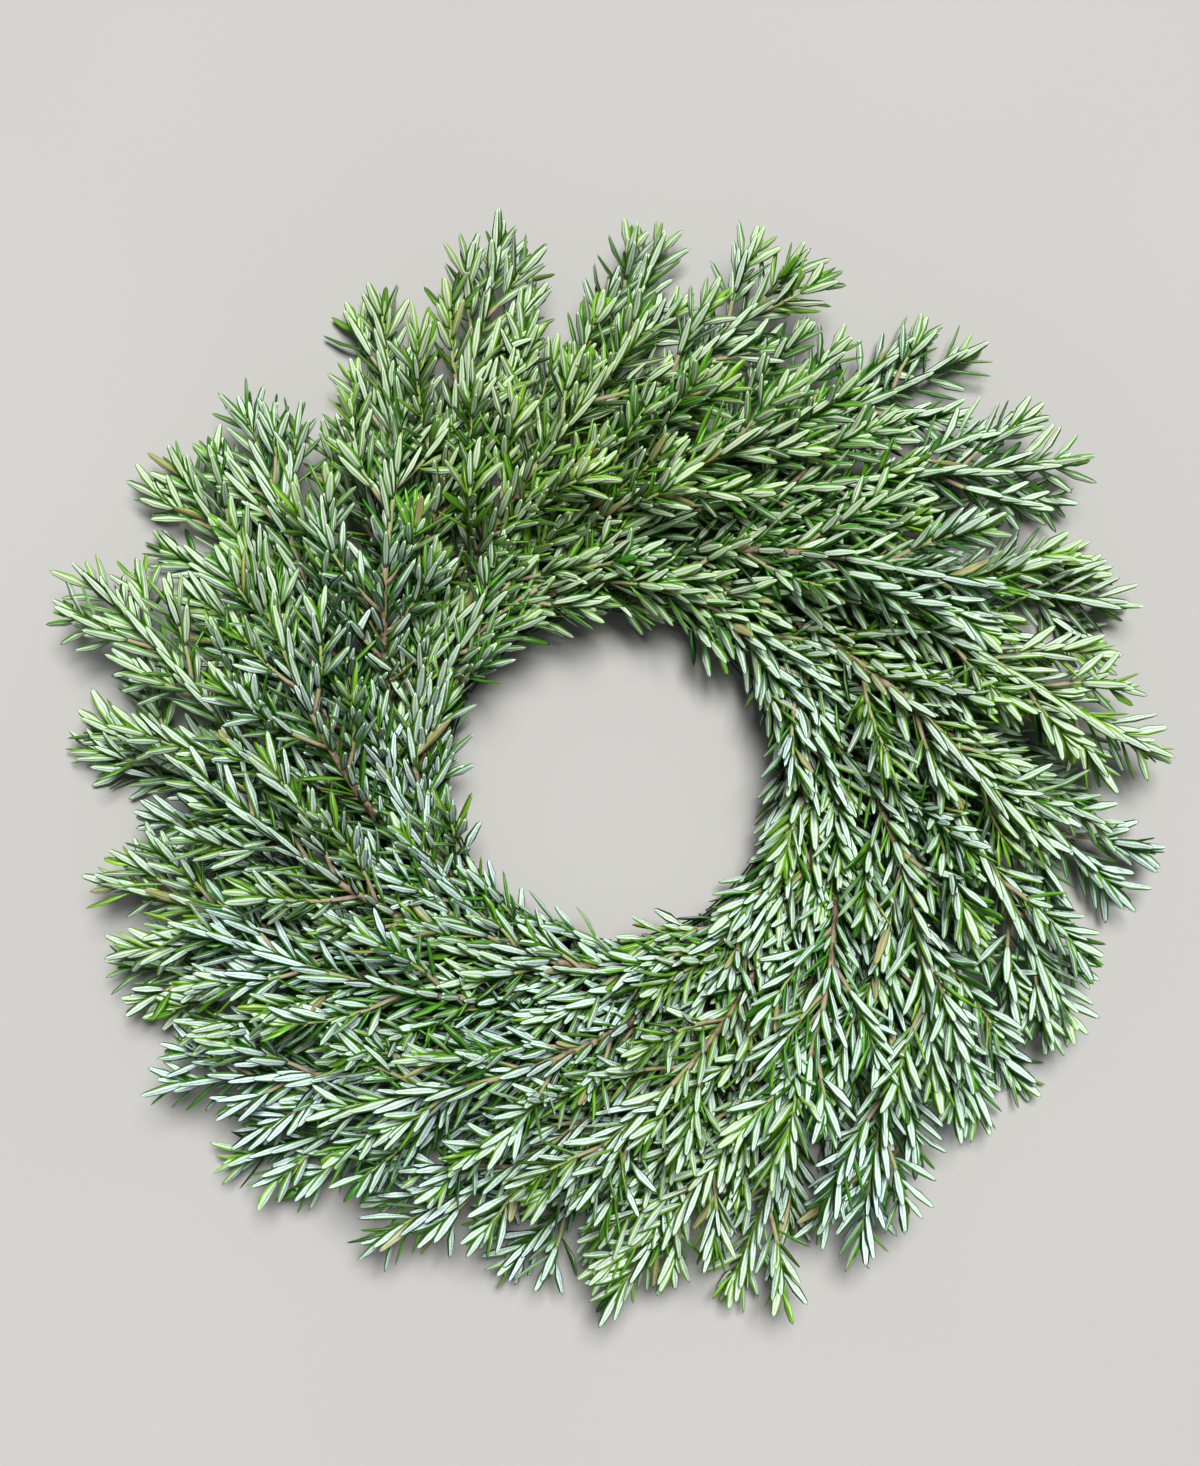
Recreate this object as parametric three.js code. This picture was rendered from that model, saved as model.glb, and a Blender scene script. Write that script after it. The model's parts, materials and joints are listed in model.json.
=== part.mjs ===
// A rosemary wreath that lies flat: a round wire frame, twelve bunches of four leafy sprigs laid clockwise
// round it, each bunch over the butts of the one before, and one long wire that binds the butts to the frame.
// Millimetres, +Z up. The origin is at the middle of the underside.

import * as THREE from 'three';

// ---- Wire frame ----
const HOOP_WIRE = 2.8;
const RIM_RADII = [80, 127];
const BASE_RADII = [94, 113];
const RIM_HEIGHT = 13.7;
const BASE_HEIGHT = 3.3;
const HOOP_SIDES = 6;
const HOOP_STEPS = 26;
const BRACE_COUNT = 6;
const BRACE_WIDTH = 4;
const BRACE_THICKNESS = 1.6;
const BRACE_FLAT = [88, 119];
const FRAME_METAL = { color: 0x3f4a3c, roughness: 0.5, metalness: 0.8 };

// ---- Binding wire ----
const BINDING_WIRE = 0.9;
const BINDING_TURNS = 2;
const BINDING_TOP = 18.8;
const BINDING_BOTTOM = 1.0;
const BINDING_FROM_RIM = 2.4;
const BINDING_FROM_BASE = 2.6;
const BINDING_SIDE_DROP = 1.7;
const BINDING_ANGLES = [-8.5, -2.5];
const BINDING_METAL = { color: 0x2f3d2a, roughness: 0.4, metalness: 0.8 };

// ---- Bunches ----
const BUNCH_COUNT = 12;
const FIRST_BUNCH_ANGLE = 8;
const BRACE_ANGLE_FROM_BUNCH = 7;
const BUTT_HEIGHT = 8;
const GAP = 0.35;
const LOWEST_LEAF = 0.8;
const HOLE_RADIUS = 69;

// How far the leaf tips reach from the middle, at every 15 degrees counter-clockwise from +X.
const TIP_REACH = [254, 264, 258, 275, 267, 258, 258, 267, 252, 255, 264, 270,
  248, 251, 258, 258, 267, 240, 247, 254, 258, 255, 240, 257];

// How the sprigs of each row run. Angles are in degrees, and places go from 0 at the butt to 1 at the tip.
// - A stem leaves its butt at startLean from the outward direction and ends at endLean. bend above 1 keeps
//   the first lean for longer. swing turns the last lean a little more at one side of the wreath.
// - Its tip comes about sweep degrees after its butt. Its leaves reach out to reach, give or take reachSwing,
//   or to the TIP_REACH of that angle where the row has no reach of its own.
// - It rises to its crest at crestAt, give or take crestSwing, then falls by droop.
// - The first part of it, bare, has no leaves. The rest carries the given number of opposite pairs.
// - shoots are [place along the leafy part, side of the stem, length].
const ROWS = {
  top: {
    startRadius: 97, startLean: 80, endLean: 38, swing: 4, sweep: 60, reach: 214, reachSwing: 7, bend: 1,
    crest: 61, crestSwing: 2.5, crestAt: 0.66, droop: 2, bare: 0.26, pairs: 14,
    shoots: [[0.3, 3, 46], [0.5, 1, 44]],
  },
  middle: {
    startRadius: 103.5, startLean: 68, endLean: 28, swing: 9, sweep: 59, bend: 1,
    crest: 46, crestSwing: 2.5, crestAt: 0.55, droop: 16, bare: 0.33, pairs: 14,
    shoots: [[0.3, 3, 52], [0.5, 1, 48]],
  },
  outer: {
    startRadius: 110, startLean: 61, endLean: 26, swing: 9, sweep: 43, bend: 1,
    crest: 26, crestSwing: 1, crestAt: 0.27, droop: 13, bare: 0.34, pairs: 12,
    shoots: [[0.33, 3, 52], [0.55, 1, 46]],
  },
  inner: {
    startRadius: 90, startLean: 91, endLean: 46, swing: 0, sweep: 80, reach: 144, reachSwing: 2, bend: 3,
    crest: 35.5, crestSwing: 0.2, crestAt: 0.5, droop: 0, bare: 0.12, pairs: 15,
    shoots: [],
  },
};

// ---- Sprigs ----
const LINE_STEPS = 24;
const STEM_BUTT_RADIUS = 2.3;
const STEM_TIP_RADIUS = 0.95;
const STEM_ROLL = 22;
const BUD_LENGTH = 5;
const LEAF_LENGTH = 29;
const LEAF_WIDTH = 5.2;
const LEAF_THICKNESS = 1.4;
const LEAF_WIDEST = 0.5;
const LEAF_CURL = 1.2;
const LEAF_HEEL = 4.5;
const LEAF_HEEL_SHARE = 0.6;
const LEAF_BASE_ROOM = 3;
const LEAF_ANGLE_SWING = 0.12;
const LEAF_LENGTH_SWING = 0.1;
const UNDERMOST_SIDE = 2;
const UNDERMOST_SHOOT_SIDE = 1;
const LEAF_ANGLE = 42;
const TIP_LEAF_ANGLE = 17;
const TIP_ALLOWANCE = 20;
const BARE_STEP = 15;
const SHOOT_ANGLE = 36;
const SHOOT_RADIUS = 1.0;
const SHOOT_PAIRS = 4;
const SHOOT_BEND = 14;
const SHOOT_RISE = 0.6;
const SHOOT_TAPER = 0.1;
const LEAF_COLOURS = [0xa9bdb0, 0x7f9c70, 0x6f9146];

// Numbers that keep the sprigs' and the leaves' places in the even spread apart.
const ROW_STRIDE = 17;
const LEAF_STRIDE = 31;

// The angle round the wreath at which the last lean's swing is at its full.
const SWING_ANGLE = -60;

// The turn of a ring's first corner that makes the ring's sides face left, up, right and down.
const RING_TURN = 45;

// Ways a leaf may sit when its first place is taken: a factor on its angle and one on its length.
const LEAF_TRIES = [[1, 1], [0.72, 1], [1.25, 1], [0.5, 0.95], [0.85, 0.75], [1.3, 0.7]];

const degrees = THREE.MathUtils.degToRad;
const smooth = (x) => THREE.MathUtils.smoothstep(x, 0, 1);

/** A number between -1 and 1 that is spread evenly over i, with another sequence for each kind. */
function spread(i, kind) {
  const steps = [0.6180339887, 0.7548776662, 0.5698402910, 0.8191725134, 0.6710436067];
  return 2 * THREE.MathUtils.euclideanModulo(0.37 + (i + 1) * steps[kind], 1) - 1;
}

/** The point at a radius, an angle in degrees and a height. */
function polar(radius, angle, height) {
  return new THREE.Vector3(radius * Math.cos(degrees(angle)), radius * Math.sin(degrees(angle)), height);
}

/** How far the tips reach at an angle in degrees, read off TIP_REACH. */
function tipReach(angle) {
  const place = THREE.MathUtils.euclideanModulo(angle, 360) / 15;
  const before = Math.floor(place) % TIP_REACH.length;
  const after = (before + 1) % TIP_REACH.length;
  return THREE.MathUtils.lerp(TIP_REACH[before], TIP_REACH[after], place - Math.floor(place));
}

/** The bars that already stand somewhere: pieces of wire, of stem and of leaf. */
class TakenRoom {
  constructor() {
    this.bars = [];
  }

  add(start, end, radius, owner, kind) {
    this.bars.push({ line: new THREE.Line3(start.clone(), end.clone()), radius, owner, kind });
  }

  /** Whether a bar keeps its gap to every taken bar that counts. */
  isFree(start, end, radius, counts) {
    const line = new THREE.Line3(start, end);
    return this.bars.filter(counts).every((bar) => {
      const apart = bar.radius + radius + GAP;
      return line.distanceSqToLine3(bar.line) > apart * apart;
    });
  }
}

/** A closed surface that is put together from points and triangles. */
class Shell {
  constructor() {
    this.points = [];
    this.triangles = [];
  }

  add(point) {
    this.points.push(point.x, point.y, point.z);
    return this.points.length / 3 - 1;
  }

  at(index) {
    return new THREE.Vector3().fromArray(this.points, 3 * index);
  }

  face(...corners) {
    for (let k = 2; k < corners.length; k += 1) {
      this.triangles.push(corners[0], corners[k - 1], corners[k]);
    }
  }

  geometry() {
    const geometry = new THREE.BufferGeometry();
    geometry.setAttribute('position', new THREE.Float32BufferAttribute(this.points, 3));
    geometry.setIndex(this.triangles);
    geometry.computeVertexNormals();
    return geometry;
  }
}

/** Four corners round a middle, counter-clockwise about the way ahead, the first one turned from the left. */
function addRing(shell, middle, ahead, above, radius, turn) {
  const left = above.clone().cross(ahead).normalize();
  const up = ahead.clone().cross(left).normalize();
  return [0, 1, 2, 3].map((k) => {
    const angle = degrees(turn + 90 * k);
    const corner = middle.clone()
      .addScaledVector(left, radius * Math.cos(angle))
      .addScaledVector(up, radius * Math.sin(angle));
    return shell.add(corner);
  });
}

/** The four sides between two rings, each seen from outside with the upper ring upward. */
function sidesBetween(lower, upper) {
  return [0, 1, 2, 3].map((k) => {
    const next = (k + 1) % 4;
    return [lower[k], lower[next], upper[next], upper[k]];
  });
}

/** A stem's side: where a leaf leaves it, the leaf's heel, and the ways across, along and outward. */
function sideFrame(shell, side) {
  const [a, b, c, d] = side.map((index) => shell.at(index));
  const across = b.clone().add(c).sub(a).sub(d).normalize();
  const rise = c.clone().add(d).sub(a).sub(b).multiplyScalar(0.5);
  const along = rise.clone().normalize();
  const heelDrop = Math.min(LEAF_HEEL, LEAF_HEEL_SHARE * rise.length());
  const upperEdge = c.clone().add(d).multiplyScalar(0.5);
  return {
    across,
    along,
    out: across.clone().cross(along).normalize(),
    heel: upperEdge.clone().addScaledVector(along, -heelDrop),
    root: upperEdge.clone().addScaledVector(along, -heelDrop / 2),
  };
}

/** The edges, rib and tip of a leaf that leaves a stem's side at an angle. */
function leafShape(frame, angle, length) {
  const forward = frame.along.clone().multiplyScalar(Math.cos(degrees(angle)))
    .addScaledVector(frame.out, Math.sin(degrees(angle)));
  const underside = frame.across.clone().cross(forward).normalize();
  const wide = frame.root.clone().addScaledVector(forward, LEAF_WIDEST * length);
  return {
    wide,
    left: wide.clone().addScaledVector(frame.across, -LEAF_WIDTH / 2),
    right: wide.clone().addScaledVector(frame.across, LEAF_WIDTH / 2),
    rib: wide.clone().addScaledVector(underside, LEAF_THICKNESS),
    tip: frame.root.clone().addScaledVector(forward, length).addScaledVector(underside, -LEAF_CURL),
  };
}

/** Whether a leaf stays off the ground, out of the hole and clear of everything that already stands. */
function leafFits(shape, root, room, owner) {
  const heights = [shape.left.z, shape.right.z, shape.rib.z, shape.tip.z];
  const others = (bar) => bar.owner !== owner;
  const sisters = (bar) => bar.owner === owner && bar.kind === 'blade';
  return Math.min(...heights) > LOWEST_LEAF
    && Math.hypot(shape.tip.x, shape.tip.y) > HOLE_RADIUS
    && room.isFree(root, shape.wide, LEAF_BASE_ROOM, others)
    && room.isFree(shape.wide, shape.tip, LEAF_WIDTH / 2, others)
    && room.isFree(shape.wide, shape.tip, 0, sisters);
}

/** Grows a leaf out of a stem's side, or closes the side where a leaf has no room. */
function growLeaf(shell, side, angle, length, room, owner) {
  const frame = sideFrame(shell, side);
  const leaf = LEAF_TRIES
    .map(([turn, size]) => leafShape(frame, angle * turn, length * size))
    .find((shape) => leafFits(shape, frame.root, room, owner));
  if (!leaf) {
    shell.face(...side);
    return;
  }
  room.add(frame.root, leaf.wide, LEAF_BASE_ROOM, owner, 'base');
  room.add(leaf.wide, leaf.tip, LEAF_WIDTH / 2, owner, 'blade');
  const [a, b, c, d] = side;
  const heel = shell.add(frame.heel);
  const left = shell.add(leaf.left);
  const right = shell.add(leaf.right);
  const rib = shell.add(leaf.rib);
  const tip = shell.add(leaf.tip);
  shell.face(a, b, heel);
  shell.face(b, c, heel);
  shell.face(d, a, heel);
  shell.face(c, d, left, right);
  shell.face(heel, c, right, rib);
  shell.face(d, heel, rib, left);
  shell.face(left, rib, tip);
  shell.face(rib, right, tip);
  shell.face(right, left, tip);
}

/** A sprig's middle line: a clockwise spiral that rises to its crest and droops a little after it. */
function sprigLine(row, bunchAngle, number) {
  const tipAngle = bunchAngle - row.sweep;
  const reach = row.reach ? row.reach + row.reachSwing * spread(number, 1) : tipReach(tipAngle);
  const endLean = row.endLean + row.swing * Math.cos(degrees(tipAngle - SWING_ANGLE));
  const leans = Array.from({ length: LINE_STEPS }, (_, k) => {
    const place = ((k + 0.5) / LINE_STEPS) ** row.bend;
    return degrees(THREE.MathUtils.lerp(row.startLean, endLean, place));
  });
  const outward = leans.reduce((sum, lean) => sum + Math.cos(lean), 0) / LINE_STEPS;
  const step = (reach - TIP_ALLOWANCE - row.startRadius) / outward / LINE_STEPS;
  const crest = row.crest + row.crestSwing * spread(number, 2);
  const height = (place) => BUTT_HEIGHT + (crest - BUTT_HEIGHT) * smooth(place / row.crestAt)
    - row.droop * smooth((place - row.crestAt) / (1 - row.crestAt));
  const points = [polar(row.startRadius, bunchAngle, BUTT_HEIGHT)];
  let radius = row.startRadius;
  let angle = bunchAngle;
  leans.forEach((lean, k) => {
    const nextRadius = radius + step * Math.cos(lean);
    angle -= THREE.MathUtils.radToDeg(step * Math.sin(lean) / ((radius + nextRadius) / 2));
    radius = nextRadius;
    points.push(polar(radius, angle, height((k + 1) / LINE_STEPS)));
  });
  return new THREE.CatmullRomCurve3(points);
}

/** The places along a sprig, from 0 to 1, at which its stem has a ring: first bare steps, then leafy ones. */
function sprigStations(row, length) {
  const bareSteps = Math.max(1, Math.round(row.bare * length / BARE_STEP));
  const bare = Array.from({ length: bareSteps }, (_, k) => row.bare * k / bareSteps);
  const leafy = Array.from({ length: row.pairs + 1 }, (_, k) => row.bare + (1 - row.bare) * k / row.pairs);
  return { places: [...bare, ...leafy], bareSteps };
}

/** One sprig as it will grow: its line, its stations and its shoots. */
class Sprig {
  constructor(name, row, bunchAngle, number) {
    this.name = name;
    this.row = row;
    this.number = number;
    this.line = sprigLine(row, bunchAngle, number);
    const { places, bareSteps } = sprigStations(row, this.line.getLength());
    this.places = places;
    this.bareSteps = bareSteps;
    this.middles = places.map((place) => this.line.getPointAt(place));
    this.shell = new Shell();
    this.sides = [];
  }

  /** The stem's half thickness at a place from butt to tip. */
  static stemRadius(place) {
    return THREE.MathUtils.lerp(STEM_BUTT_RADIUS, STEM_TIP_RADIUS, place);
  }

  /** Takes the room of the main stem, before anything grows on it. */
  claimStem(room) {
    this.middles.slice(1).forEach((middle, k) => {
      room.add(this.middles[k], middle, Sprig.stemRadius(this.places[k]), this.name, 'stem');
    });
  }

  /** Lays the rings of the main stem and keeps the sides between them for leaves and shoots. */
  layStem() {
    const above = new THREE.Vector3(0, 0, 1);
    const roll = STEM_ROLL * spread(this.number, 3);
    this.rings = this.places.map((place, k) => addRing(
      this.shell, this.middles[k], this.line.getTangentAt(place), above,
      Sprig.stemRadius(place), RING_TURN + roll,
    ));
    const [butt] = this.rings;
    this.shell.face(butt[0], butt[3], butt[2], butt[1]);
    this.closeTip(this.rings.at(-1), this.middles.at(-1), this.line.getTangentAt(1));
    this.sides = this.rings.slice(1).map((upper, k) => sidesBetween(this.rings[k], upper));
    this.sides.slice(0, this.bareSteps).flat().forEach((side) => this.shell.face(...side));
  }

  /** Closes a stem's last ring with a pointed bud. */
  closeTip(lastRing, middle, ahead) {
    const bud = this.shell.add(middle.clone().addScaledVector(ahead, BUD_LENGTH));
    [0, 1, 2, 3].forEach((k) => this.shell.face(lastRing[k], lastRing[(k + 1) % 4], bud));
  }

  /** Grows the side shoots that have room, and marks the sides that they leave from. */
  growShoots(room) {
    this.shootSides = new Set();
    this.row.shoots.forEach(([place, sideNumber, length], k) => {
      const step = this.bareSteps + Math.round(place * this.row.pairs);
      const side = this.sides[step][sideNumber];
      const owner = `${this.name} shoot ${k}`;
      const shoot = this.planShoot(side, length);
      const others = (bar) => bar.owner !== this.name;
      const free = shoot.slice(2).every((point, j) => room.isFree(shoot[j + 1], point, SHOOT_RADIUS, others));
      if (!free) {
        return;
      }
      this.shootSides.add(side);
      shoot.slice(1).forEach((point, j) => room.add(shoot[j], point, SHOOT_RADIUS, owner, 'stem'));
      this.layShoot(side, shoot, room, owner);
    });
  }

  /** The middle line of a shoot: it leaves at an angle and bends a little towards the main stem's way. */
  planShoot(side, length) {
    const frame = sideFrame(this.shell, side);
    const points = [frame.root];
    const step = length / (SHOOT_PAIRS + 1);
    for (let k = 0; k <= SHOOT_PAIRS; k += 1) {
      const angle = degrees(SHOOT_ANGLE - SHOOT_BEND * k / SHOOT_PAIRS);
      const next = points.at(-1).clone()
        .addScaledVector(frame.along, step * Math.cos(angle))
        .addScaledVector(frame.out, step * Math.sin(angle));
      next.z += SHOOT_RISE;
      points.push(next);
    }
    return points;
  }

  /** Lays the rings of a shoot from the side that it leaves, with a leaf on every other side between them. */
  layShoot(side, points, room, owner) {
    const frame = sideFrame(this.shell, side);
    let lower = side;
    points.slice(1).forEach((point, k) => {
      const ahead = point.clone().sub(points[k]).normalize();
      const radius = SHOOT_RADIUS * (1 - SHOOT_TAPER * k);
      const upper = addRing(this.shell, point, ahead, frame.along, radius, 180 + RING_TURN);
      const sides = sidesBetween(lower, upper);
      sides.forEach((shootSide, j) => {
        const leafy = k > 0 && (j + k) % 2 === 0 && j !== UNDERMOST_SHOOT_SIDE;
        if (leafy) {
          this.growAt(shootSide, k / SHOOT_PAIRS, room, owner);
        } else {
          this.shell.face(...shootSide);
        }
      });
      lower = upper;
    });
    const ahead = points.at(-1).clone().sub(points.at(-2)).normalize();
    this.closeTip(lower, points.at(-1), ahead);
  }

  /** Grows the opposite pairs of leaves, each pair a quarter turn from the one below it. */
  growLeaves(room) {
    this.sides.slice(this.bareSteps).forEach((sides, pair) => {
      sides.forEach((side, k) => {
        if (this.shootSides.has(side)) {
          return;
        }
        if ((k + pair) % 2 === 0 && k !== UNDERMOST_SIDE) {
          this.growAt(side, pair / (this.row.pairs - 1), room, this.name);
        } else {
          this.shell.face(...side);
        }
      });
    });
  }

  /** Grows the leaf of a side, closer to the stem the nearer it is to the tip. */
  growAt(side, place, room, owner) {
    const chance = spread(side[0] + LEAF_STRIDE * this.number, 4);
    const angle = THREE.MathUtils.lerp(LEAF_ANGLE, TIP_LEAF_ANGLE, place ** 3);
    const length = LEAF_LENGTH * (1 + LEAF_LENGTH_SWING * chance);
    growLeaf(this.shell, side, angle * (1 + LEAF_ANGLE_SWING * chance), length, room, owner);
  }

  /** The sprig as one named mesh of one colour. */
  mesh(colour) {
    const material = new THREE.MeshStandardMaterial({ color: colour, roughness: 0.62, metalness: 0 });
    const mesh = new THREE.Mesh(this.shell.geometry(), material);
    mesh.name = this.name;
    return mesh;
  }
}

/** A round wire hoop that lies level. */
function hoop(name, radius, height) {
  const geometry = new THREE.TorusGeometry(radius, HOOP_WIRE / 2, HOOP_SIDES, HOOP_STEPS);
  const mesh = new THREE.Mesh(geometry, new THREE.MeshStandardMaterial(FRAME_METAL));
  mesh.name = name;
  mesh.position.z = height;
  return mesh;
}

/** The middle line of a cross brace, as radii and heights: an arm down, the flat and an arm up. */
function braceLine() {
  const flatHeight = BRACE_THICKNESS / 2;
  const armTop = RIM_HEIGHT - HOOP_WIRE / 2 - GAP - BRACE_THICKNESS / 2;
  return [
    new THREE.Vector2(RIM_RADII[0], armTop),
    new THREE.Vector2(BRACE_FLAT[0], flatHeight),
    new THREE.Vector2(BRACE_FLAT[1], flatHeight),
    new THREE.Vector2(RIM_RADII[1], armTop),
  ];
}

/** The edge of a strip at half its thickness to the left of its middle line, or to the right for -1. */
function stripEdge(line, thickness, side) {
  const centre = new THREE.Vector2();
  const lefts = line.slice(1).map((point, k) => {
    return point.clone().sub(line[k]).normalize().rotateAround(centre, Math.PI / 2);
  });
  return line.map((point, k) => {
    const before = lefts[Math.max(0, k - 1)];
    const after = lefts[Math.min(lefts.length - 1, k)];
    const left = before.clone().add(after).normalize();
    return point.clone().addScaledVector(left, side * thickness / 2 / left.dot(before));
  });
}

/** A flat strip bent into a shallow trough, which stands on the ground under the four hoops. */
function crossBrace(name, angle) {
  const line = braceLine();
  const upper = stripEdge(line, BRACE_THICKNESS, 1).reverse();
  const outline = new THREE.Shape([...stripEdge(line, BRACE_THICKNESS, -1), ...upper]);
  const geometry = new THREE.ExtrudeGeometry(outline, { depth: BRACE_WIDTH, bevelEnabled: false });
  geometry.translate(0, 0, -BRACE_WIDTH / 2);
  geometry.rotateX(Math.PI / 2);
  const mesh = new THREE.Mesh(geometry, new THREE.MeshStandardMaterial(FRAME_METAL));
  mesh.name = name;
  mesh.rotation.z = degrees(angle);
  return mesh;
}

/** The corners of the binding wire's way: two turns round each bunch, then on to the next inside the rim. */
function bindingRoute() {
  const inside = RIM_RADII[0] - BINDING_FROM_RIM;
  const outside = RIM_RADII[1] + BINDING_FROM_RIM;
  const side = RIM_HEIGHT - BINDING_SIDE_DROP;
  const turn = [
    [inside, BINDING_TOP],
    [outside, BINDING_TOP],
    [outside, side],
    [BASE_RADII[1] + BINDING_FROM_BASE, BINDING_BOTTOM],
    [BASE_RADII[0] - BINDING_FROM_BASE, BINDING_BOTTOM],
    [inside, side],
  ];
  const [from, to] = BINDING_ANGLES;
  const corners = BINDING_TURNS * turn.length;
  const route = [];
  for (let bunch = 0; bunch < BUNCH_COUNT; bunch += 1) {
    const bunchAngle = FIRST_BUNCH_ANGLE + 360 * bunch / BUNCH_COUNT;
    for (let k = 0; k <= corners; k += 1) {
      const [radius, height] = turn[k % turn.length];
      route.push(polar(radius, bunchAngle + THREE.MathUtils.lerp(from, to, k / corners), height));
    }
    const hop = 360 / BUNCH_COUNT - (to - from);
    if (bunch < BUNCH_COUNT - 1) {
      [1 / 3, 2 / 3].forEach((part) => {
        route.push(polar(inside, bunchAngle + to + hop * part, RIM_HEIGHT));
      });
    }
  }
  return route;
}

/** The binding wire as a square wire along its route, carried from corner to corner without a twist. */
function bindingWire(name, route) {
  const shell = new Shell();
  const ways = route.slice(1).map((point, k) => point.clone().sub(route[k]).normalize());
  const bends = route.map((_, k) => {
    const before = ways[Math.max(0, k - 1)];
    const after = ways[Math.min(ways.length - 1, k)];
    return before.clone().add(after).normalize();
  });
  const above = new THREE.Vector3(1, 0, 0).cross(bends[0]).normalize();
  const rings = route.map((point, k) => {
    above.addScaledVector(bends[k], -above.dot(bends[k])).normalize();
    return addRing(shell, point, bends[k], above, BINDING_WIRE / 2, RING_TURN);
  });
  rings.slice(1).forEach((upper, k) => {
    sidesBetween(rings[k], upper).forEach((side) => shell.face(...side));
  });
  const first = rings[0];
  const last = rings.at(-1);
  shell.face(first[0], first[3], first[2], first[1]);
  shell.face(...last);
  const mesh = new THREE.Mesh(shell.geometry(), new THREE.MeshStandardMaterial(BINDING_METAL));
  mesh.name = name;
  return mesh;
}

/** Takes the room of a hoop. */
function claimHoop(room, radius, height) {
  for (let k = 0; k < HOOP_STEPS; k += 1) {
    const start = polar(radius, 360 * k / HOOP_STEPS, height);
    const end = polar(radius, 360 * (k + 1) / HOOP_STEPS, height);
    room.add(start, end, HOOP_WIRE / 2, 'hoop', 'wire');
  }
}

/** Takes the room of a cross brace: its flat and its two arms. */
function claimBrace(room, angle) {
  const corners = braceLine().map(({ x, y }) => polar(x, angle, y));
  corners.slice(1).forEach((corner, k) => room.add(corners[k], corner, BRACE_WIDTH / 2, 'brace', 'wire'));
}

/** All the sprigs, the ones on top first, so that they keep their leaves where two sprigs meet. */
function growSprigs(route, braceAngles) {
  const room = new TakenRoom();
  route.slice(1).forEach((point, k) => room.add(route[k], point, BINDING_WIRE / 2, 'wire', 'wire'));
  RIM_RADII.forEach((radius) => claimHoop(room, radius, RIM_HEIGHT));
  BASE_RADII.forEach((radius) => claimHoop(room, radius, BASE_HEIGHT));
  braceAngles.forEach((angle) => claimBrace(room, angle));
  const sprigs = Object.entries(ROWS).flatMap(([rowName, row], rowNumber) => {
    return Array.from({ length: BUNCH_COUNT }, (_, bunch) => {
      const name = `${rowName}_sprig_${String(bunch + 1).padStart(2, '0')}`;
      const bunchAngle = FIRST_BUNCH_ANGLE + 360 * bunch / BUNCH_COUNT;
      return new Sprig(name, row, bunchAngle, bunch + ROW_STRIDE * rowNumber);
    });
  });
  sprigs.forEach((sprig) => sprig.claimStem(room));
  sprigs.forEach((sprig) => sprig.layStem());
  sprigs.forEach((sprig) => sprig.growShoots(room));
  sprigs.forEach((sprig) => sprig.growLeaves(room));
  return sprigs;
}

const wreath = new THREE.Group();
const route = bindingRoute();
['rim', 'base'].forEach((level) => {
  const radii = level === 'rim' ? RIM_RADII : BASE_RADII;
  const height = level === 'rim' ? RIM_HEIGHT : BASE_HEIGHT;
  wreath.add(hoop(`inner_${level}_hoop`, radii[0], height));
  wreath.add(hoop(`outer_${level}_hoop`, radii[1], height));
});
const braceAngles = Array.from({ length: BRACE_COUNT }, (_, k) => {
  return FIRST_BUNCH_ANGLE + BRACE_ANGLE_FROM_BUNCH + 360 * k / BRACE_COUNT;
});
braceAngles.forEach((angle, k) => wreath.add(crossBrace(`cross_brace_${k + 1}`, angle)));
wreath.add(bindingWire('binding_wire', route));
const sprigs = growSprigs(route, braceAngles);
sprigs.forEach((sprig, k) => wreath.add(sprig.mesh(LEAF_COLOURS[k % LEAF_COLOURS.length])));

// The origin goes to the middle of the whole wreath's underside.
const bounds = new THREE.Box3().setFromObject(wreath);
const middle = bounds.getCenter(new THREE.Vector3());
wreath.position.set(-middle.x, -middle.y, -bounds.min.z);

export default wreath;
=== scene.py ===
"""A rosemary wreath that lies flat on a plain floor and is looked down on from straight above.

The wire frame, its cross braces and the binding wire stand where the frame model has them. Each of the
forty-eight sprigs follows the middle line of its solid in the frame model, and grows side shoots and
opposite pairs of needle leaves along it. The middle and outer sprigs run 9 mm further out than their
solids do. Lengths are metres and angles are degrees unless a name says otherwise.
"""
import json
import logging
from dataclasses import dataclass, field
from enum import Enum

import bpy
import numpy as np
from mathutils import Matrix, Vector


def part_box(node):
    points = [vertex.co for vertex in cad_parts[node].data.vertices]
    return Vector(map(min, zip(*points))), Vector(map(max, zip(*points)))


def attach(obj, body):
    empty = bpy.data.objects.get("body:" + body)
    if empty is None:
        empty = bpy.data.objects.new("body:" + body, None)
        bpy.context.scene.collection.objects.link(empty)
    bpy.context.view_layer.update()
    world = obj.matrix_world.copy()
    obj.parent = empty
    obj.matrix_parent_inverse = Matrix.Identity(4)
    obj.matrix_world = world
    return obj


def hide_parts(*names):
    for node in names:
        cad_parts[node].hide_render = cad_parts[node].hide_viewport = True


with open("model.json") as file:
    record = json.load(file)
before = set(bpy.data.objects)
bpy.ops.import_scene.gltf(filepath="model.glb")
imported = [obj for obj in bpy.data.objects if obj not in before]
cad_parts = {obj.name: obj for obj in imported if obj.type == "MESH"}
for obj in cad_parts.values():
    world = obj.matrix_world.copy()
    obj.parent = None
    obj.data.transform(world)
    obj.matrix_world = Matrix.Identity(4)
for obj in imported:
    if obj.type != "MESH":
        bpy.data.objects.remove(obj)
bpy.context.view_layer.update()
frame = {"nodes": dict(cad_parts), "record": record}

log = logging.getLogger("wreath")

Array = np.ndarray
Colour = tuple[float, float, float]
Socket = bpy.types.NodeSocket

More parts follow.
